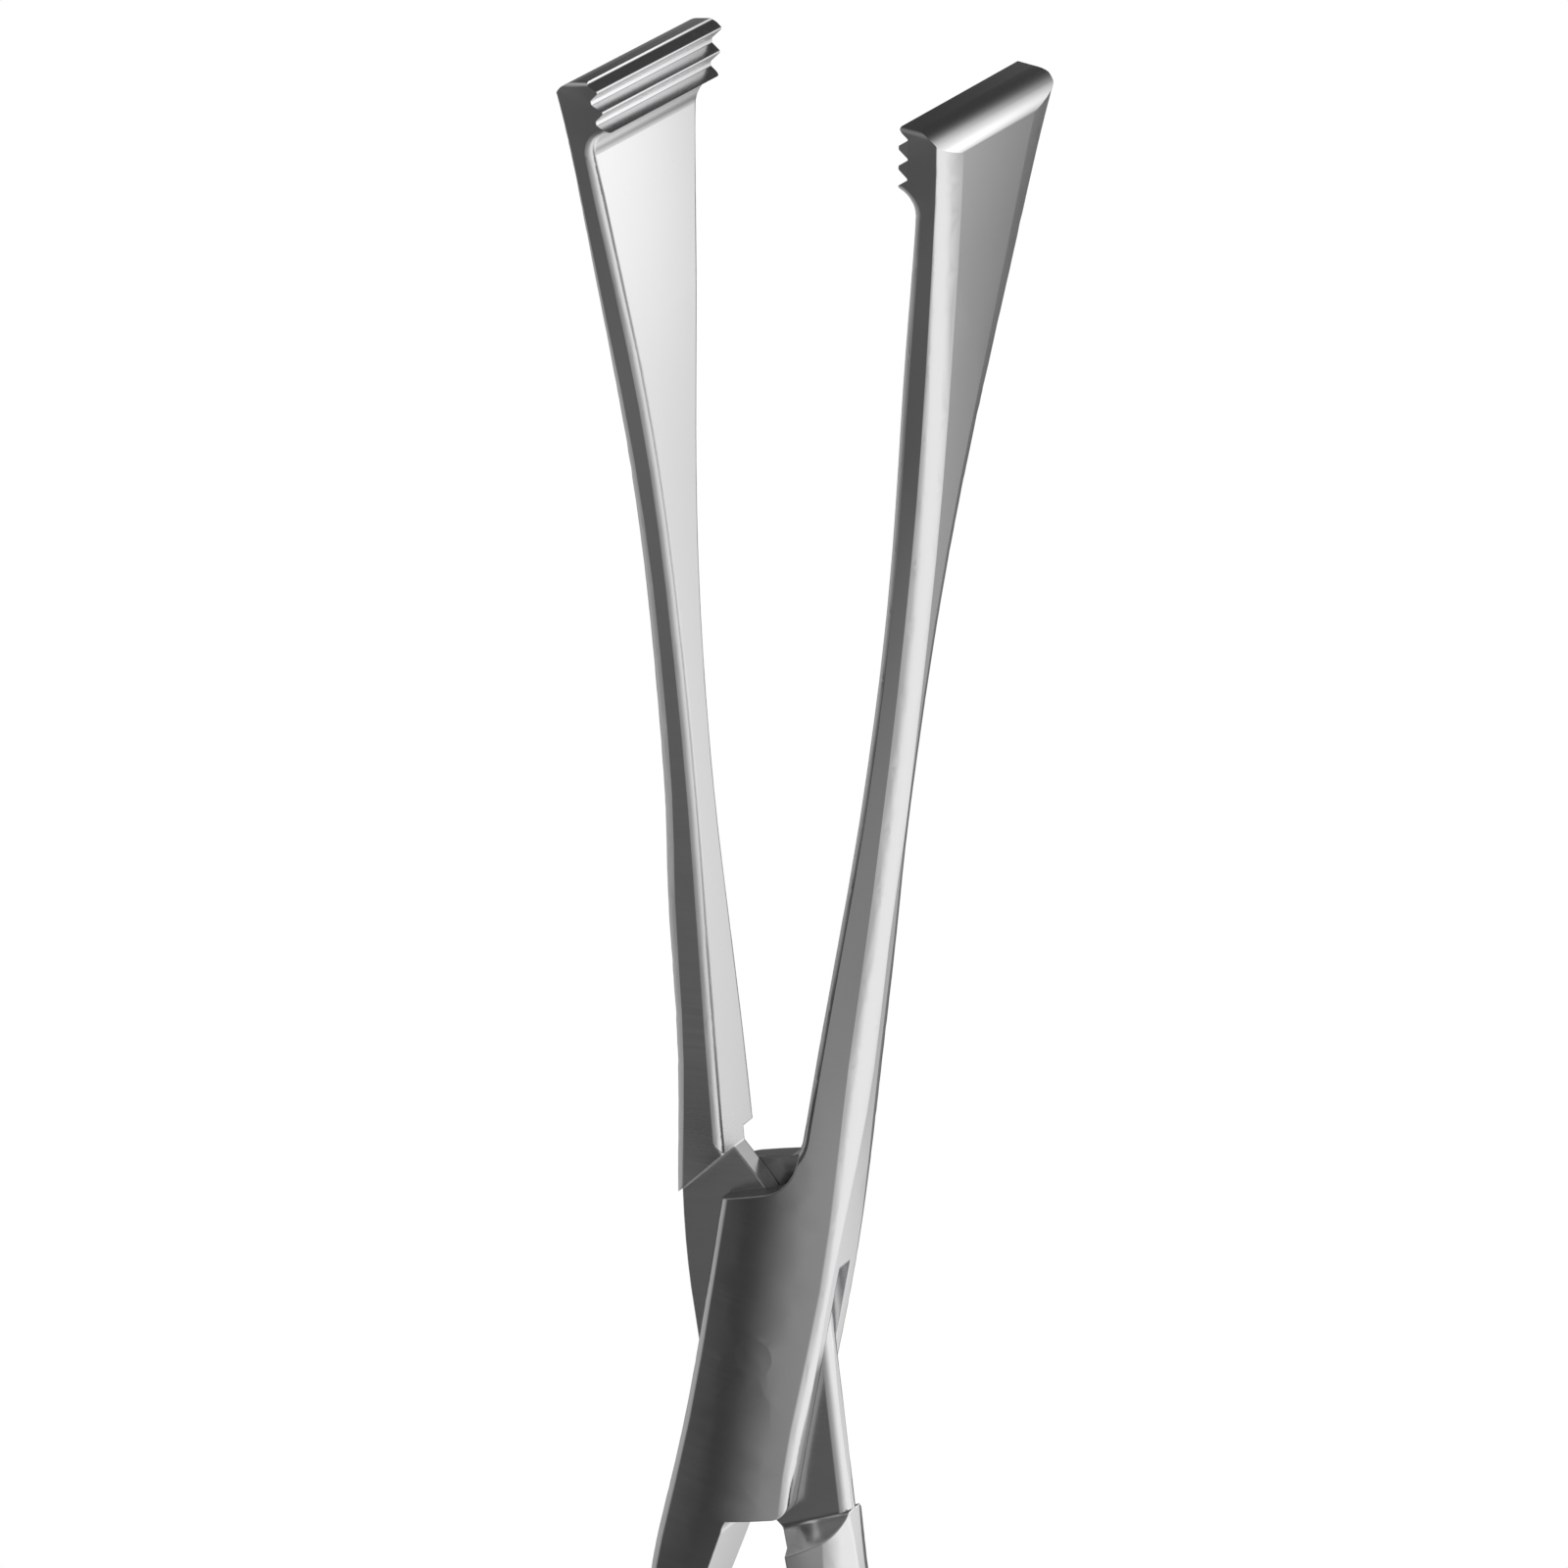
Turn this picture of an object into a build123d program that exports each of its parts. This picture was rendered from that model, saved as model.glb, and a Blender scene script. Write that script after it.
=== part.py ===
import math
import os

from build123d import *

# Overall
jaw_reach = 74.45
ring_drop = 112.0
open_half_angle = 7.1

# Lock walls: half widths at the pin on the jaw side and on the shank side of each half, and their lean
box_jaw_side = 3.5
box_shank_side = 3.72
tongue_jaw_side = 4.1
tongue_shank_side = 3.97
jaw_lean = 0.028
box_shank_lean = 0.048
box_upper_lean = 0.015
tongue_shank_lean = 0.028
lock_thickness = 4.9

# Ends of the lock walls
mouth_x = 0.8
mouth_z = 9.75
mouth_round = 2.6
mouth_far_z = mouth_z - 1.25
back_wall_rise = 1.35
back_wall_far_rise = 1.7
heel_z = 9.5
heel_slope = 0.33
heel_round = 1.0
crotch_x = 0.1
crotch_drop = 0.8

# Slot and tongue
slot_thickness = 1.5
tongue_side_clearance = 0.05
slot_end_clearance = 0.3
tongue_round = 0.55
tongue_far_z = 5.1
tongue_root_z = mouth_z + 2.1
tongue_knee_x = 0.4
tongue_upper_knee = mouth_z + 0.5
tongue_lower_knee = heel_z + 0.75
tongue_crotch_x = 0.8
tongue_crotch_z = heel_z + 2.0
tongue_half_thickness = slot_thickness / 2 - tongue_side_clearance

# Shoulders of the tongue: height at the middle, clear of the lock walls, and slope towards the far side
upper_shoulder_gap = 2.7
upper_shoulder = mouth_z + upper_shoulder_gap
rear_shoulder_rise = back_wall_far_rise / 2
upper_slope = 0.765
lower_shoulder_gap = 1.25
lower_shoulder = heel_z + lower_shoulder_gap
lower_slope = 0.286
lower_shoulder_round = 0.4
lower_shoulder_ramp = 0.8

# Pin
pin_radius = 1.15
pin_running_clearance = 0.04

# Jaw: width, outer side and inner side at even steps from its root to its tip
jaw_root = 16.0
tip_width = 16.4
tip_outer = 2.4
waist_width = 3.0
inner_offset = 0.82
root_width = lock_thickness - 0.4
jaw_widths = [root_width, 3.77, waist_width, waist_width, 3.85, 5.8, 8.85, 12.2, tip_width]
jaw_outer = [3.76, 3.55, 3.31, 3.11, 2.94, 2.82, 2.72, 2.58, tip_outer]
jaw_inner = {6: 0.66, 4: 0.8, 2: 0.9}

# Soft rounding of the outer edges of the jaw: how far it runs along the narrow front and back at the waist
# and less per width past it, and how far it runs round the side, with its growth per width
jaw_edge_run = 0.9
jaw_edge_run_fall = 0.04
jaw_edge_round = 0.8
jaw_edge_growth = 0.125

# Rounds of the jaw's inner edges, and of its end towards the outside and towards the front and back
inner_edge_round = 0.45
tip_outer_round = 1.6
tip_face_round = 0.5

# Teeth, with the line that they close on a little to the box half's side
tooth_count = 3
tooth_pitch = 1.22
tooth_depth = 0.6
tooth_shift = 0.17
tooth_round = 0.12
tooth_flat = 0.24
pad_foot_run = 1.4

# Shank
shank_width = 3.25
shank_root_thickness = lock_thickness - 0.6
shank_thickness = 3.6
shank_top = 16.0
shank_sag = 3.0
shank_settle = 0.45

# Ring
ring_inner_radius = 11.0
ring_bar = 4.0
ring_flat = 2.4
ring_inner_round = 0.6
ring_outer_round = 1.6
ring_middle_gap = 2.2
ring_joint_angle = 25.0
ring_offset = ring_inner_radius + ring_bar + ring_middle_gap

# Ratchet
bar_rise = 24.0
bar_height = 5.0
bar_reach = 3.0
bar_gap = 0.4
bar_depth = 2.0
bar_nose = 1.0
notch_count = 4
notch_pitch = 1.5
notch_depth = 0.6

# Edge rounding, with the handle length of a quarter round
edge_round = 0.5
tongue_shank_round = 0.95
round_handle = 0.55

# Crown of the front and back faces: its drop at a set distance from its top, and how far
# the top has moved over to the middle of the shank at the shank's root
crown_reach = 5.0
lock_sag = 1.0
jaw_sag = 0.6
root_crown_shift = 0.7

# Plates that cut right through
through = 15.0


def jaw_height(step):
    """Height above the pin of one of the even steps along the jaw."""
    return jaw_root + (jaw_reach - jaw_root) * step / (len(jaw_widths) - 1)


def crown_y(x, width, sag):
    """Half depth of a crowned section at x."""
    radius = (crown_reach**2 + sag**2) / (2 * sag)
    return width / 2 - radius + math.sqrt(radius**2 - x**2)


def rounded_section(z, sides, rounds, width, sag, apex=0.0):
    """Closed section at height z, with crowned front and back and rounded corners.

    sides holds the left and right x, and rounds how far each corner runs along x and along y.
    """
    ends = []
    for side, (run_x, run_y), inward in zip(sides, rounds, (1, -1)):
        inner_x = side + inward * run_x
        depth = crown_y(side - apex, width, sag)
        on_face = Vector(inner_x, crown_y(inner_x - apex, width, sag))
        corner = Vector(side, depth)
        on_side = Vector(side, depth - run_y)
        handles = [on_face + (corner - on_face) * round_handle, on_side + (corner - on_side) * round_handle]
        ends.append([on_face, *handles, on_side])
    left, right = ends
    middle_x = sum(sides) / 2
    middle = Vector(middle_x, crown_y(middle_x - apex, width, sag))
    back = [ThreePointArc(left[0], middle, right[0]), Bezier(*right)]
    front = [edge.mirror(Plane.XZ) for edge in back + [Bezier(*left)]]
    right_side = Line(right[-1], Vector(right[-1].X, -right[-1].Y))
    left_side = Line(Vector(left[-1].X, -left[-1].Y), left[-1])
    return Pos(0, 0, z) * make_face([*back, right_side, *front, left_side, Bezier(*left)])


def half_body(jaw_side, shank_side, shank_lean, upper_lean, shank_round):
    """Body with the crowned front and back and the outer sides of a half's jaw, lock and shank root."""
    sections = []
    for z in (-shank_top, -jaw_root / 2, 0, jaw_root / 2):
        thickness = shank_root_thickness if z == -shank_top else lock_thickness
        lean = shank_lean if z < 0 else upper_lean
        sides = (-shank_side + lean * z, jaw_side + jaw_lean * z)
        rounds = ((shank_round, shank_round), (edge_round, edge_round))
        apex = root_crown_shift * (sides[0] + shank_width / 2) if z == -shank_top else 0
        sections.append(rounded_section(z, sides, rounds, thickness, lock_sag, apex))
    for step, (width, outer) in enumerate(zip(jaw_widths, jaw_outer)):
        sag = lock_sag + (jaw_sag - lock_sag) * min((step + 1) / 2, 1)
        sides = (-shank_side + upper_lean * jaw_root, outer)
        outer_run = jaw_edge_run - jaw_edge_run_fall * (width - waist_width)
        rounds = ((edge_round, edge_round), (outer_run, jaw_edge_round + jaw_edge_growth * width))
        sections.append(rounded_section(jaw_height(step), sides, rounds, width, sag))
    return loft(sections)


def toothed_edge(first_is_crest):
    """Inner edge of the toothed pad from the tip down to a hollow foot on the inner face.

    The half that starts on a crest has flat crests, and the other one the flat valleys that they close in.
    """
    shift = tooth_shift if first_is_crest else -tooth_shift
    crest, valley = shift - tooth_depth / 2, shift + tooth_depth / 2
    flat, sharp = (crest, valley) if first_is_crest else (valley, crest)
    last = 2 * tooth_count if first_is_crest else 2 * tooth_count - 1
    points = [(flat, jaw_reach), (flat, jaw_reach - tooth_flat / 2)]
    for step in range(1, last + 1):
        z = jaw_reach - step * tooth_pitch / 2
        if step % 2 == 0:
            points += [(flat, z + tooth_flat / 2), (flat, z - tooth_flat / 2)]
        else:
            points.append((sharp, z))
    foot = TangentArc((inner_offset, points[-1][1] - pad_foot_run), points[-1], tangent=(0, 1))
    return FilletPolyline(*points, radius=tooth_round), foot


def box_mouth(rise, far_z):
    """Upper end of a lock wall: a round inner corner, then a slanted edge out to the far side."""
    corner_start = (inner_offset, mouth_z + mouth_round + rise)
    corner = TangentArc(corner_start, (-mouth_x, mouth_z + rise), tangent=(0, -1))
    return Curve() + [corner, Line(corner @ 1, (-box_shank_side + box_upper_lean * far_z, far_z))]


def box_heel():
    """Lower end of a lock wall, from the shank's inner face out to the jaw side."""
    corner_x = box_jaw_side - heel_round
    crotch_z = -heel_z - heel_slope * (corner_x + crotch_x)
    start = (-crotch_x - crotch_drop / 4, crotch_z - crotch_drop)
    crotch = TangentArc(start, (-crotch_x, crotch_z), tangent=(0, 1))
    edge = Line(crotch @ 1, (corner_x, -heel_z))
    corner_end = (box_jaw_side - jaw_lean * heel_z, -heel_z + heel_round)
    return Curve() + [crotch, edge, TangentArc(edge @ 1, corner_end, tangent=edge % 1)]


def tongue_mouth():
    """Upper end of the tongue: diagonals from the inner face out to the far side."""
    far = -tongue_shank_side + tongue_shank_lean * tongue_far_z
    knee = (-tongue_knee_x, tongue_upper_knee)
    return Curve() + Polyline((inner_offset, tongue_root_z), knee, (far, tongue_far_z))


def tongue_heel():
    """Lower end of the tongue: diagonals from the shank's inner face out to the jaw side."""
    near = tongue_jaw_side - jaw_lean * tongue_far_z
    knee = (tongue_knee_x, -tongue_lower_knee)
    return Curve() + Polyline((-tongue_crotch_x, -tongue_crotch_z), knee, (near, -tongue_far_z))


def half_outline(first_is_crest, mouth, heel, shank_side, shank_lean):
    """Front outline of a half with its jaw on the +X side, which leaves the outer sides to the body."""
    teeth, foot = toothed_edge(first_is_crest)
    shank_in = (-shank_side - shank_lean * shank_top + shank_width, -shank_top)
    face_points = [(x, jaw_height(step)) for step, x in jaw_inner.items()]
    inner_face = Spline(foot @ 0, *face_points, mouth @ 0, tangents=[(0, -1), (0, -1)])
    shank_side_points = [mouth @ 1, (-through, (mouth @ 1).Y), (-through, -shank_top), shank_in, heel @ 0]
    jaw_side_points = [heel @ 1, (through, (heel @ 1).Y), (through, jaw_reach), teeth @ 0]
    edges = [
        teeth,
        foot,
        inner_face,
        mouth,
        Polyline(*shank_side_points),
        heel,
        Polyline(*jaw_side_points),
    ]
    return make_face([edge for curve in edges for edge in curve.edges()])


def plate(face, low, high):
    """Plate with an XZ outline between two Y positions."""
    return Pos(0, high, 0) * extrude(Plane.XZ * face, amount=high - low)


def polygon_plate(points, low, high):
    return plate(make_face(Polyline(*points, close=True)), low, high)


def shank_path(share, shank_side):
    """Middle of the shank at a share of the way from its root to the ring, as x and z."""
    joint = math.radians(ring_joint_angle)
    middle = ring_inner_radius + ring_bar / 2
    end_x = -ring_offset + middle * math.sin(joint)
    end_z = -ring_drop + middle * math.cos(joint)
    start_x = shank_side + shank_width / 2
    x = start_x + (end_x - start_x) * share**1.25
    return x, -shank_top + (end_z + shank_top) * share


def shank(shank_side, outer_round):
    """Shank from the lock down into the ring."""
    sections = []
    for share in (0, 0.05, 0.2, shank_settle, 0.7, 1.0):
        x, z = shank_path(share, shank_side)
        settle = min(share / shank_settle, 1)
        width = shank_root_thickness + (shank_thickness - shank_root_thickness) * settle
        sag = lock_sag + (shank_sag - lock_sag) * settle
        sides = (x - shank_width / 2, x + shank_width / 2)
        rounds = ((outer_round, outer_round), (edge_round, edge_round))
        sections.append(rounded_section(z, sides, rounds, width, sag, x))
    return loft(sections)


def finger_ring():
    """Ring with a flat inner wall and a rounded outside."""
    section = Pos(ring_inner_radius + ring_bar / 2, 0) * Rectangle(ring_bar, ring_flat + 2 * ring_inner_round)
    section = fillet(section.vertices().sort_by(Axis.X)[:2], ring_inner_round)
    section = fillet(section.vertices().sort_by(Axis.X)[-2:], ring_outer_round)
    return Pos(-ring_offset, 0, -ring_drop) * revolve(section, Axis.Y)


def ratchet_bar(shank_side):
    """Bar that reaches past the middle in front of the other half's bar, notched on its rear face."""
    rear = -bar_gap / 2
    front = rear - bar_depth
    drop = ring_drop - bar_rise
    root = shank_path((drop - shank_top) / (ring_drop - shank_top), shank_side)[0] - shank_width / 4
    points = [(root, front), (bar_reach - bar_nose, front), (bar_reach, front + bar_nose)]
    for notch in range(notch_count):
        x = bar_reach - notch * notch_pitch
        points += [(x, rear), (x - notch_pitch, rear - notch_depth)]
    last = bar_reach - notch_count * notch_pitch
    points += [(last, rear), (root, rear)]
    face = make_face(Polyline(*points, close=True))
    return Pos(0, 0, -drop - bar_height / 2) * extrude(face, amount=bar_height)


def handle(shank_side, shank_lean, outer_round):
    root_side = -shank_side - shank_lean * shank_top
    return shank(root_side, outer_round) + finger_ring() + ratchet_bar(root_side)


def tip_corner(side, side_below, radius):
    """Material outside a round of the jaw's end, from its side's place at the tip and a step below it."""
    lean = (side_below - side) / (jaw_reach - jaw_height(len(jaw_outer) - 2))
    start = (side - radius, jaw_reach)
    end = (side + lean * radius, jaw_reach - radius)
    above = 2 * jaw_reach
    beyond = [end, (through, jaw_reach - radius), (through, above), (start[0], above), start]
    arc = TangentArc(start, end, tangent=(1, 0))
    return plate(make_face(arc.edges() + Polyline(*beyond).edges()), -through, through)


def blank(body, outline):
    """Jaw, lock and shank root of a half before its lock is cut, with its jaw on the +X side."""
    outer_corner = tip_corner(tip_outer, jaw_outer[-2], tip_outer_round)
    back_corner = Rot(0, 0, 90) * tip_corner(tip_width / 2, jaw_widths[-2] / 2, tip_face_round)
    front_corner = mirror(back_corner, about=Plane.XZ)
    return body & plate(outline, -through, through) - outer_corner - back_corner - front_corner


def is_inner_edge(edge):
    """Whether an edge runs along the jaw's inner face."""
    middle = edge.position_at(0.5)
    return abs(middle.X) < 2 * inner_offset and jaw_height(2) < middle.Z < jaw_height(6)


def soften_inner_edges(half):
    """Half with the edges of its jaw's inner face broken."""
    return fillet(half.edges().filter_by(is_inner_edge), inner_edge_round)


def front_mouth_cut():
    """Space that lowers the front wall's upper end below the back wall's."""
    mouth = box_mouth(0, mouth_far_z)
    sky = Polyline(mouth @ 1, (-through, mouth_far_z), (-through, 2 * through), (0, 2 * through), mouth @ 0)
    return plate(make_face(mouth.edges() + sky.edges()), -through, 0)


def slot():
    """Space through the box half in which the tongue turns."""
    gap = slot_end_clearance
    top = [(-v.X + gap, v.Y + gap) for v in tongue_mouth().vertices().sort_by(Axis.X)[::-1]]
    bottom = [(-v.X - gap, v.Y - gap) for v in tongue_heel().vertices().sort_by(Axis.X)]
    points = [(top[0][0], 2 * through)] + top + [(through, top[-1][1]), (through, -2 * through)]
    points += [(bottom[0][0], -2 * through)] + bottom + [(-through, bottom[-1][1]), (-through, 2 * through)]
    return polygon_plate(points, -slot_thickness / 2, slot_thickness / 2)


def between_shoulders(rise, drop=0.0):
    """Corners of the stretch between the tongue's shoulders, the upper raised and the lower dropped."""
    return [
        (through, upper_shoulder + rise - upper_slope * through),
        (-through, upper_shoulder + rise + upper_slope * through),
        (-through, -lower_shoulder - drop + lower_slope * through),
        (through, -lower_shoulder - drop - lower_slope * through),
    ]


def recess(rise):
    """Material taken off the front of the tongue between its two shoulders, the lower one a ramp."""
    drop = lower_shoulder_ramp * (through - tongue_half_thickness)
    floor_outline = make_face(Polyline(*between_shoulders(rise), close=True))
    front_outline = make_face(Polyline(*between_shoulders(rise, drop), close=True))
    inside = Pos(0, -tongue_half_thickness, 0) * (Plane.XZ * floor_outline)
    outside = Pos(0, -through, 0) * (Plane.XZ * front_outline)
    cutter = loft([inside, outside], ruled=True)
    floor = cutter.faces().sort_by(Axis.Y)[-1]
    foot = floor.edges().sort_by(Axis.Z)[0]
    return fillet(foot, lower_shoulder_round)


def tongue_corner():
    """Material outside the rounded front edge of the tongue on the shank side."""
    start = (0, tongue_round - tongue_half_thickness)
    end = (tongue_round, -tongue_half_thickness)
    beyond = Polyline(end, (tongue_round, -through), (-through, -through), (-through, start[1]), start)
    arc = TangentArc(start, end, tangent=(0, -1))
    foot = Pos(-tongue_shank_side - tongue_shank_lean * 2 * through, 0, -2 * through)
    face = foot * make_face(arc.edges() + beyond.edges())
    prism = extrude(face, amount=4 * through, dir=(tongue_shank_lean, 0, 1))
    return prism & polygon_plate(between_shoulders(0), -through, 0)


def cross_bore(radius):
    return Rot(90, 0, 0) * Cylinder(radius, 2 * through)


box_body = half_body(box_jaw_side, box_shank_side, box_shank_lean, box_upper_lean, edge_round)
back_mouth = box_mouth(back_wall_rise, mouth_far_z + back_wall_far_rise)
box_outline = half_outline(True, back_mouth, box_heel(), box_shank_side, box_shank_lean)
box = soften_inner_edges(blank(box_body, box_outline))
box = box - front_mouth_cut() - slot() - cross_bore(pin_radius)
box = box + handle(box_shank_side, box_shank_lean, edge_round)

tongue_body = half_body(
    tongue_jaw_side, tongue_shank_side, tongue_shank_lean, tongue_shank_lean, tongue_shank_round
)
tongue_outline = half_outline(False, tongue_mouth(), tongue_heel(), tongue_shank_side, tongue_shank_lean)
tongue = blank(tongue_body, tongue_outline) - cross_bore(pin_radius + pin_running_clearance)
tongue = tongue - recess(rear_shoulder_rise) - mirror(recess(0), about=Plane.XZ)
tongue = soften_inner_edges(tongue)
tongue = tongue - tongue_corner() - mirror(tongue_corner(), about=Plane.XZ)
tongue = tongue + handle(tongue_shank_side, tongue_shank_lean, tongue_shank_round)

pin = box_body & cross_bore(pin_radius)

# Both halves stand open on their rings, with the jaws up
opening = math.radians(open_half_angle)
ring_low = ring_drop * math.cos(opening) - ring_offset * math.sin(opening)
at_pin = Pos(0, 0, ring_low + ring_inner_radius + ring_bar)
box_turn = Rot(0, open_half_angle, 0)
tongue_turn = Rot(0, -open_half_angle, 0) * Rot(0, 0, 180)
nodes = {
    "box_half": at_pin * box_turn * box,
    "tongue_half": at_pin * tongue_turn * tongue,
    "lock_pin": at_pin * box_turn * pin,
}

os.makedirs("parts", exist_ok=True)
for name, node in nodes.items():
    export_step(node, f"parts/{name}.step")
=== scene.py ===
import math

import bpy
from mathutils import Matrix, Vector

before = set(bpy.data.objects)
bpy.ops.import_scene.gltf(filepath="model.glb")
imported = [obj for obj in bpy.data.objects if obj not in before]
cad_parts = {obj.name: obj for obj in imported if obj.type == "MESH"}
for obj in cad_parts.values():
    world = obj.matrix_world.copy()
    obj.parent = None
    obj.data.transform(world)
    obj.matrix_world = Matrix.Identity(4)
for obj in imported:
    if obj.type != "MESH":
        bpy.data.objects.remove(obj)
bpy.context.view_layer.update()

# Camera, with the picture taken as a square
aim = Vector((-0.00015, 0.0, 0.15723))
camera_distance = 0.5792
camera_azimuth = math.radians(24.07)
camera_elevation = math.radians(18.78)
camera_roll = math.radians(1.60)
camera_lens = 240.8
sensor_width = 36.0

# Lean of each half from upright, which its grain follows
half_lean = math.radians(7.1)

# Pin of the lock, flush with the box round it
pin_height = 0.124015
pin_clear = 0.0015
pin_blend = 0.0022

# Floor under the finger rings
floor_radius = 0.24
floor_sides = 128
floor_shade = 0.86
floor_unevenness = 0.02
floor_patches = (0.05, 0.05, 0.05)

# Colour of the steel
steel_colour = (0.64, 0.64, 0.645, 1)

# Crown that grinding leaves across the faces: fall in metres for the square of the distance from the middle
face_crown = 3.7

# Height that the finishes are laid out over
full_height = 0.2
millimetre = 0.001

# Rays that find the edges, and the broken edges of the lock and shanks, by height, both in millimetres
edge_samples = 10
edge_softness = [(0, 0.25), (105, 0.12), (130, 0.14), (135, 0.14), (139, 0.0), (200, 0.0)]

# Size in metres of the brushed bands and of the scratches in them
brushed_size = (0.004, 0.0025, 0.00011)
scratch_size = (0.002, 0.00125, 0.00007)

# Change of roughness from band to band, and depth in metres and strength of the scratches
brushed_change = 0.10
scratch_depth = 0.000002
scratch_strength = 0.18

# Strength of the grinding marks, which fade out below the teeth, by height in millimetres
grain_strength = [(0, 1.0), (145, 1.0), (187, 0.0), (200, 0.0)]

# Roughness of each half's finish, by height in millimetres
box_roughness = [(0, 0.26), (105, 0.18), (133, 0.18), (150, 0.22), (190, 0.22), (200, 0.26)]
tongue_roughness = [(0, 0.26), (105, 0.20), (132, 0.22), (142, 0.34), (180, 0.34), (196, 0.24), (200, 0.22)]


def link(tree, start, end):
    """Wire from one socket to another."""
    tree.links.new(start, end)


def math_node(tree, operation, *values):
    """Math node on values or sockets."""
    node = tree.nodes.new("ShaderNodeMath")
    node.operation = operation
    for socket, value in zip(node.inputs, values):
        if isinstance(value, (int, float)):
            socket.default_value = value
        else:
            link(tree, value, socket)
    return node.outputs["Value"]


def ramp(tree, share, stops):
    """Level read from stops of share and level, each level from 0 to 1."""
    node = tree.nodes.new("ShaderNodeValToRGB")
    elements = node.color_ramp.elements
    while len(elements) < len(stops):
        elements.new(0.5)
    for element, (position, level) in zip(elements, stops):
        element.position = position
        element.color = (level, level, level, 1)
    link(tree, share, node.inputs["Fac"])
    return node.outputs["Color"]


def smooth_step(tree, value, start, end, low, high):
    """Value taken smoothly from low at start to high at end."""
    node = tree.nodes.new("ShaderNodeMapRange")
    node.interpolation_type = "SMOOTHSTEP"
    node.inputs["From Min"].default_value = start
    node.inputs["From Max"].default_value = end
    node.inputs["To Min"].default_value = low
    node.inputs["To Max"].default_value = high
    link(tree, value, node.inputs["Value"])
    return node.outputs["Result"]


def new_material(name):
    """Empty node material with its shader and its place on the piece."""
    material = bpy.data.materials.new(name)
    material.use_nodes = True
    tree = material.node_tree
    tree.nodes.clear()
    shader = tree.nodes.new("ShaderNodeBsdfPrincipled")
    output = tree.nodes.new("ShaderNodeOutputMaterial")
    link(tree, shader.outputs["BSDF"], output.inputs["Surface"])
    place = tree.nodes.new("ShaderNodeTexCoord").outputs["Object"]
    return material, tree, shader, place


def by_height(tree, place, levels):
    """Level that changes along the piece, from heights in millimetres."""
    axes = tree.nodes.new("ShaderNodeSeparateXYZ")
    link(tree, place, axes.inputs["Vector"])
    share = math_node(tree, "DIVIDE", axes.outputs["Z"], full_height)
    return ramp(tree, share, [(height * millimetre / full_height, level) for height, level in levels])


def grain(tree, place, lean, size, detail):
    """Noise from -0.5 to 0.5, turned with its half, with marks of a size in metres."""
    turn = tree.nodes.new("ShaderNodeMapping")
    turn.vector_type = "TEXTURE"
    turn.inputs["Rotation"].default_value = (0, lean, 0)
    turn.inputs["Scale"].default_value = size
    noise = tree.nodes.new("ShaderNodeTexNoise")
    noise.inputs["Scale"].default_value = 1.0
    noise.inputs["Detail"].default_value = detail
    link(tree, place, turn.inputs["Vector"])
    link(tree, turn.outputs["Vector"], noise.inputs["Vector"])
    return math_node(tree, "SUBTRACT", noise.outputs["Fac"], 0.5)


def away_from_pin(tree, place):
    """0 over the flush end of the pin and 1 away from it."""
    from_axis = tree.nodes.new("ShaderNodeMapping")
    from_axis.inputs["Location"].default_value = (0, 0, -pin_height)
    from_axis.inputs["Scale"].default_value = (1, 0, 1)
    reach = tree.nodes.new("ShaderNodeVectorMath")
    reach.operation = "LENGTH"
    link(tree, place, from_axis.inputs["Vector"])
    link(tree, from_axis.outputs["Vector"], reach.inputs[0])
    return smooth_step(tree, reach.outputs["Value"], pin_clear, pin_blend, 0.0, 1.0)


def satin_steel(name, lean, roughness_levels):
    """Fine ground stainless steel with softly broken edges."""
    material, tree, shader, place = new_material(name)
    shader.inputs["Metallic"].default_value = 1.0
    shader.inputs["Base Color"].default_value = steel_colour
    ground = by_height(tree, place, grain_strength)
    brushed = math_node(tree, "MULTIPLY", grain(tree, place, lean, brushed_size, 3), ground)
    roughness = by_height(tree, place, roughness_levels)
    banded = math_node(tree, "MULTIPLY_ADD", brushed, brushed_change, roughness)
    link(tree, banded, shader.inputs["Roughness"])
    softness = math_node(tree, "MULTIPLY", by_height(tree, place, edge_softness), millimetre)
    edge = tree.nodes.new("ShaderNodeBevel")
    edge.samples = edge_samples
    link(tree, math_node(tree, "MULTIPLY", softness, away_from_pin(tree, place)), edge.inputs["Radius"])
    axes = tree.nodes.new("ShaderNodeSeparateXYZ")
    link(tree, place, axes.inputs["Vector"])
    crown = tree.nodes.new("ShaderNodeBump")
    crown.inputs["Strength"].default_value = 1.0
    crown.inputs["Distance"].default_value = face_crown
    crown.invert = True
    link(tree, math_node(tree, "MULTIPLY", axes.outputs["Y"], axes.outputs["Y"]), crown.inputs["Height"])
    link(tree, edge.outputs["Normal"], crown.inputs["Normal"])
    scratch = tree.nodes.new("ShaderNodeBump")
    scratch.inputs["Strength"].default_value = scratch_strength
    scratch.inputs["Distance"].default_value = scratch_depth
    scratches = grain(tree, place, lean, scratch_size, 2)
    link(tree, math_node(tree, "MULTIPLY", scratches, ground), scratch.inputs["Height"])
    link(tree, crown.outputs["Normal"], scratch.inputs["Normal"])
    link(tree, scratch.outputs["Normal"], shader.inputs["Normal"])
    return material


def floor_paint():
    """Pale matt paint, faintly uneven."""
    material, tree, shader, place = new_material("floor_paint")
    shader.inputs["Roughness"].default_value = 0.9
    shader.inputs["Specular IOR Level"].default_value = 0.1
    uneven = grain(tree, place, 0.0, floor_patches, 2)
    shade = math_node(tree, "MULTIPLY_ADD", uneven, floor_unevenness, floor_shade)
    link(tree, shade, shader.inputs["Base Color"])
    return material


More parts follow.
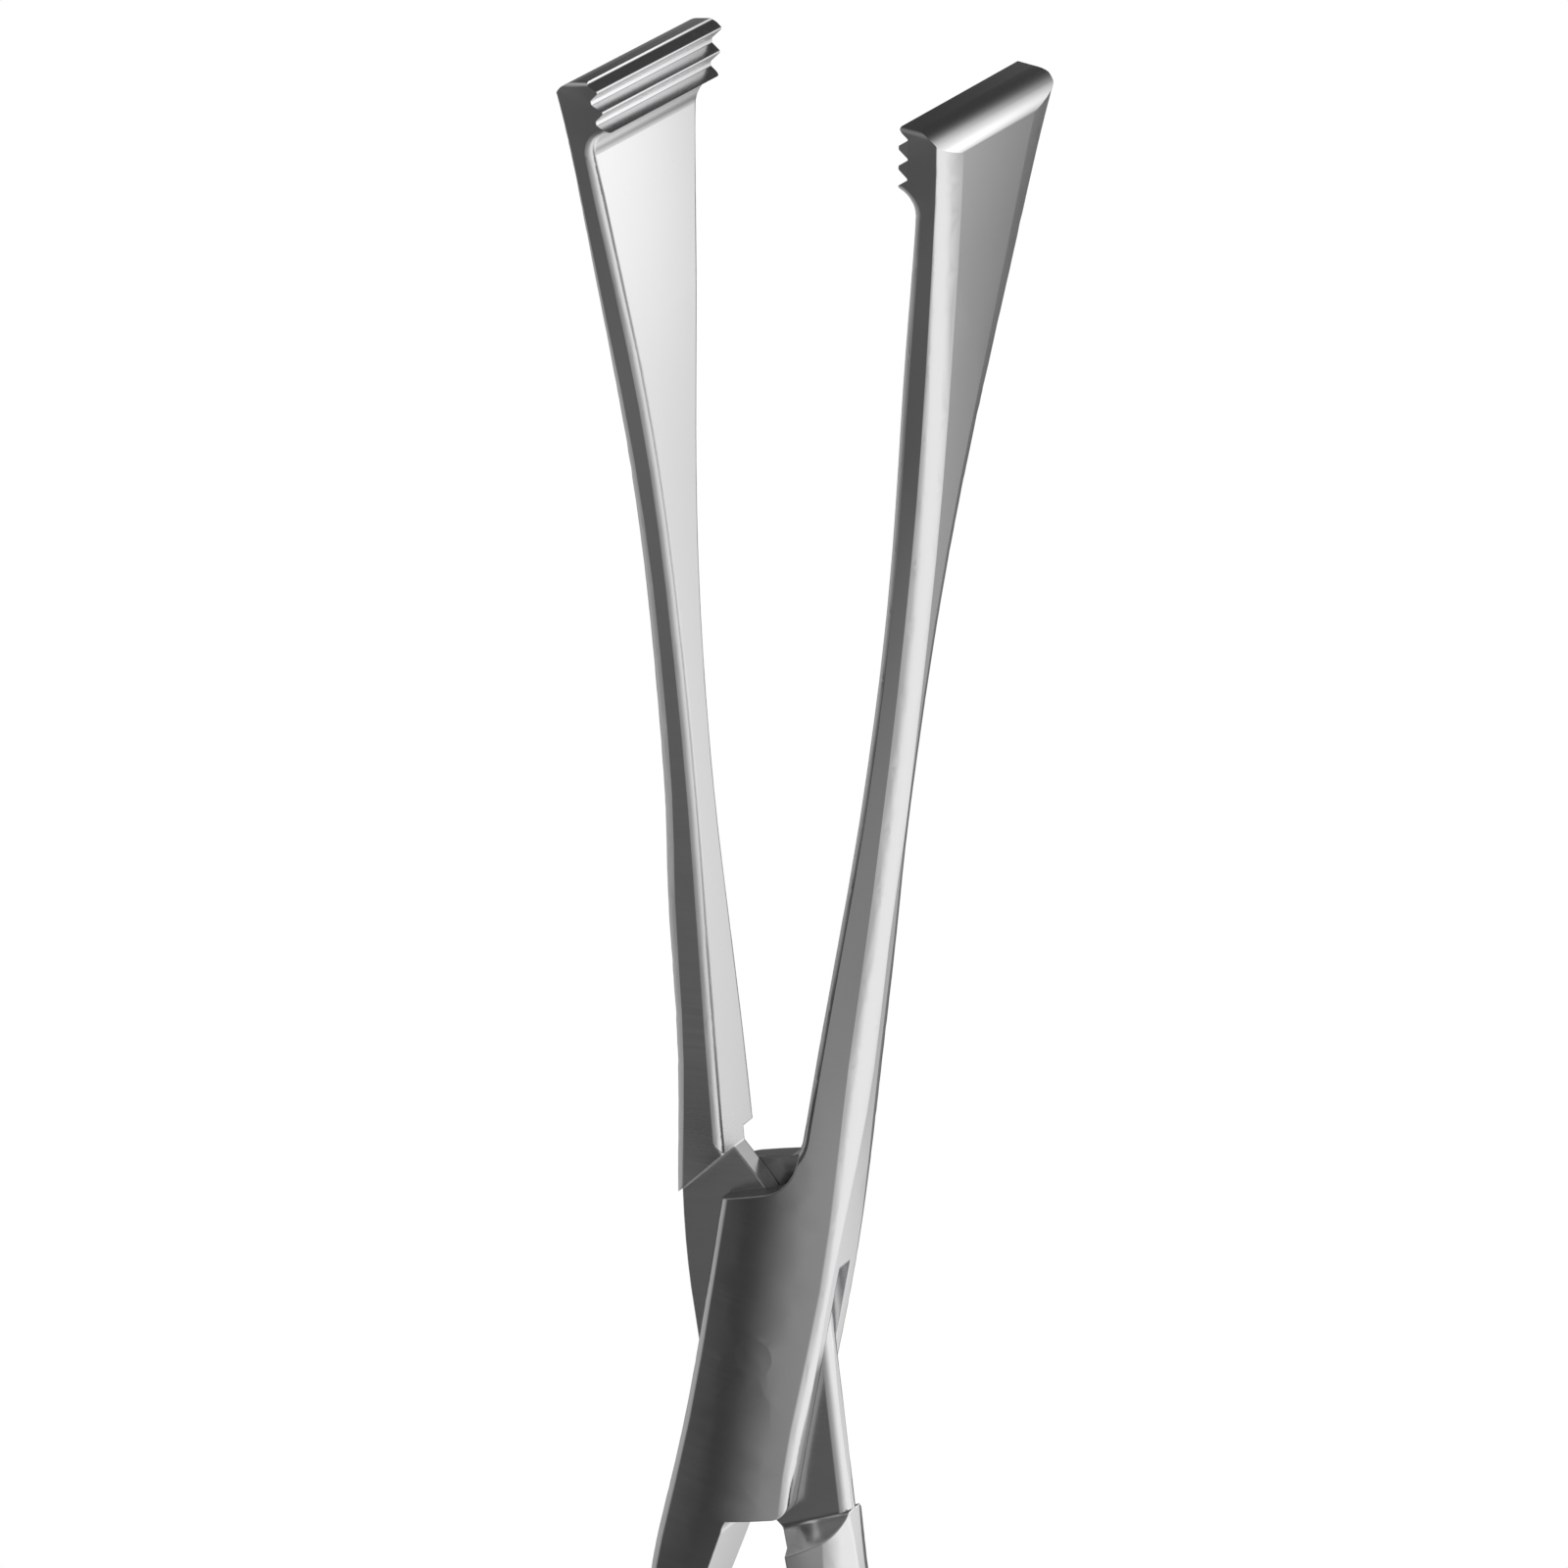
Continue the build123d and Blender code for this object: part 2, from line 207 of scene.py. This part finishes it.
def pale_floor():
    """Round floor that the finger rings stand on."""
    bpy.ops.object.select_all(action="DESELECT")
    bpy.ops.mesh.primitive_circle_add(vertices=floor_sides, radius=floor_radius, fill_type="NGON")
    floor = bpy.context.object
    floor.name = "floor"
    floor.data.materials.append(floor_paint())
    floor.visible_glossy = False


def towards(azimuth, elevation):
    """Direction at an azimuth from the camera's side round by the right, and an elevation, in degrees."""
    turn, rise = math.radians(azimuth), math.radians(elevation)
    return Vector((math.sin(turn) * math.cos(rise), -math.cos(turn) * math.cos(rise), math.sin(rise)))


def soft_panel(tree, direction, azimuth, elevation, width, level):
    """Glow of a soft light panel that falls to half its level at width degrees from its middle."""
    facing = tree.nodes.new("ShaderNodeVectorMath")
    facing.operation = "DOT_PRODUCT"
    facing.inputs[1].default_value = towards(azimuth, elevation)
    link(tree, direction, facing.inputs[0])
    sharpness = math.log(2) / (1 - math.cos(math.radians(width)))
    fall = math_node(tree, "MULTIPLY", math_node(tree, "SUBTRACT", facing.outputs["Value"], 1.0), sharpness)
    return math_node(tree, "MULTIPLY", math_node(tree, "EXPONENT", fall), level)


# Levels round the room near the horizon, by azimuth in degrees from the camera's side
room_levels = [
    (-180, 0.16), (-150, 0.19), (-128, 0.42), (-112, 0.50), (-95, 0.50), (-75, 0.42), (-60, 0.25),
    (-48, 0.07), (-36, 0.03), (-29, 0.05), (-24, 0.11), (-15, 0.24), (-8, 0.36), (10, 0.42),
    (43, 0.85), (75, 1.25), (110, 1.25), (134, 1.20), (144, 0.75), (153, 0.26), (166, 0.14), (180, 0.16),
]

# Levels of the table below it, by the same azimuth
table_levels = [
    (-180, 0.55), (-140, 0.60), (-110, 0.60), (-75, 0.35), (-46, 0.14), (-36, 0.07), (-29, 0.05),
    (-24, 0.08), (-12, 0.24), (10, 0.42), (43, 0.80), (75, 1.20), (110, 1.25), (160, 1.20), (180, 0.55),
]
brightest = max(level for _, level in room_levels + table_levels)

# Elevations in degrees between which the room falls to its upper part's share, and the table to nothing
room_fall = (-5, 25)
upper_share = 0.12
table_fall = (-30, -20)

# Soft light panels: azimuth, elevation, width and level
panels = [
    (150, -1, 11, 1.50),
    (148, 22, 10, 0.95),
    (-60, 45, 20, 0.55),
]


def round_the_room(tree, share, levels):
    """Level by azimuth."""
    stops = [((angle + 180) / 360, level / brightest) for angle, level in levels]
    return math_node(tree, "MULTIPLY", ramp(tree, share, stops), brightest)


def sine(degrees):
    """Sine of an angle in degrees, the rise of a direction at that elevation."""
    return math.sin(math.radians(degrees))


def studio_world():
    """Plain white all round, and a studio with soft lights and a dim side that only the metal shows."""
    world = bpy.data.worlds.new("studio")
    bpy.context.scene.world = world
    world.use_nodes = True
    tree = world.node_tree
    tree.nodes.clear()
    direction = tree.nodes.new("ShaderNodeTexCoord").outputs["Generated"]
    axes = tree.nodes.new("ShaderNodeSeparateXYZ")
    link(tree, direction, axes.inputs["Vector"])
    front = math_node(tree, "MULTIPLY", axes.outputs["Y"], -1.0)
    azimuth = math_node(tree, "ARCTAN2", axes.outputs["X"], front)
    share = math_node(tree, "MULTIPLY_ADD", azimuth, 0.5 / math.pi, 0.5)
    rise = axes.outputs["Z"]
    room = math_node(tree, "MULTIPLY", round_the_room(tree, share, room_levels),
                     smooth_step(tree, rise, *map(sine, room_fall), 1.0, upper_share))
    table = round_the_room(tree, share, table_levels)
    below = smooth_step(tree, rise, *map(sine, table_fall), 1.0, 0.0)
    light = math_node(tree, "MULTIPLY_ADD", math_node(tree, "SUBTRACT", table, room), below, room)
    for panel in panels:
        light = math_node(tree, "ADD", light, soft_panel(tree, direction, *panel))
    white = tree.nodes.new("ShaderNodeBackground")
    white.inputs["Color"].default_value = (1, 1, 1, 1)
    studio = tree.nodes.new("ShaderNodeBackground")
    studio.inputs["Color"].default_value = (1, 1, 1, 1)
    link(tree, light, studio.inputs["Strength"])
    path = tree.nodes.new("ShaderNodeLightPath")
    mix = tree.nodes.new("ShaderNodeMixShader")
    output = tree.nodes.new("ShaderNodeOutputWorld")
    link(tree, path.outputs["Is Glossy Ray"], mix.inputs["Fac"])
    link(tree, white.outputs["Background"], mix.inputs[1])
    link(tree, studio.outputs["Background"], mix.inputs[2])
    link(tree, mix.outputs["Shader"], output.inputs["Surface"])


def photo_camera():
    """Camera at the angle, distance and roll of the picture."""
    forward = Vector((
        -math.sin(camera_azimuth) * math.cos(camera_elevation),
        math.cos(camera_azimuth) * math.cos(camera_elevation),
        -math.sin(camera_elevation),
    ))
    level = Vector((math.cos(camera_azimuth), math.sin(camera_azimuth), 0))
    rise = level.cross(forward)
    right = level * math.cos(camera_roll) + rise * math.sin(camera_roll)
    up = rise * math.cos(camera_roll) - level * math.sin(camera_roll)
    data = bpy.data.cameras.new("photo_camera")
    data.lens = camera_lens
    data.sensor_width = sensor_width
    data.sensor_fit = "HORIZONTAL"
    camera = bpy.data.objects.new("photo_camera", data)
    bpy.context.scene.collection.objects.link(camera)
    turn = Matrix((right, up, -forward)).transposed().to_4x4()
    camera.matrix_world = Matrix.Translation(aim - forward * camera_distance) @ turn
    bpy.context.scene.camera = camera


box_steel = satin_steel("box_steel", half_lean, box_roughness)
tongue_steel = satin_steel("tongue_steel", -half_lean, tongue_roughness)
for node, finish in {"box_half": box_steel, "tongue_half": tongue_steel, "lock_pin": box_steel}.items():
    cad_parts[node].material_slots[0].material = finish

pale_floor()
studio_world()
photo_camera()
bpy.context.scene.view_settings.view_transform = "Standard"
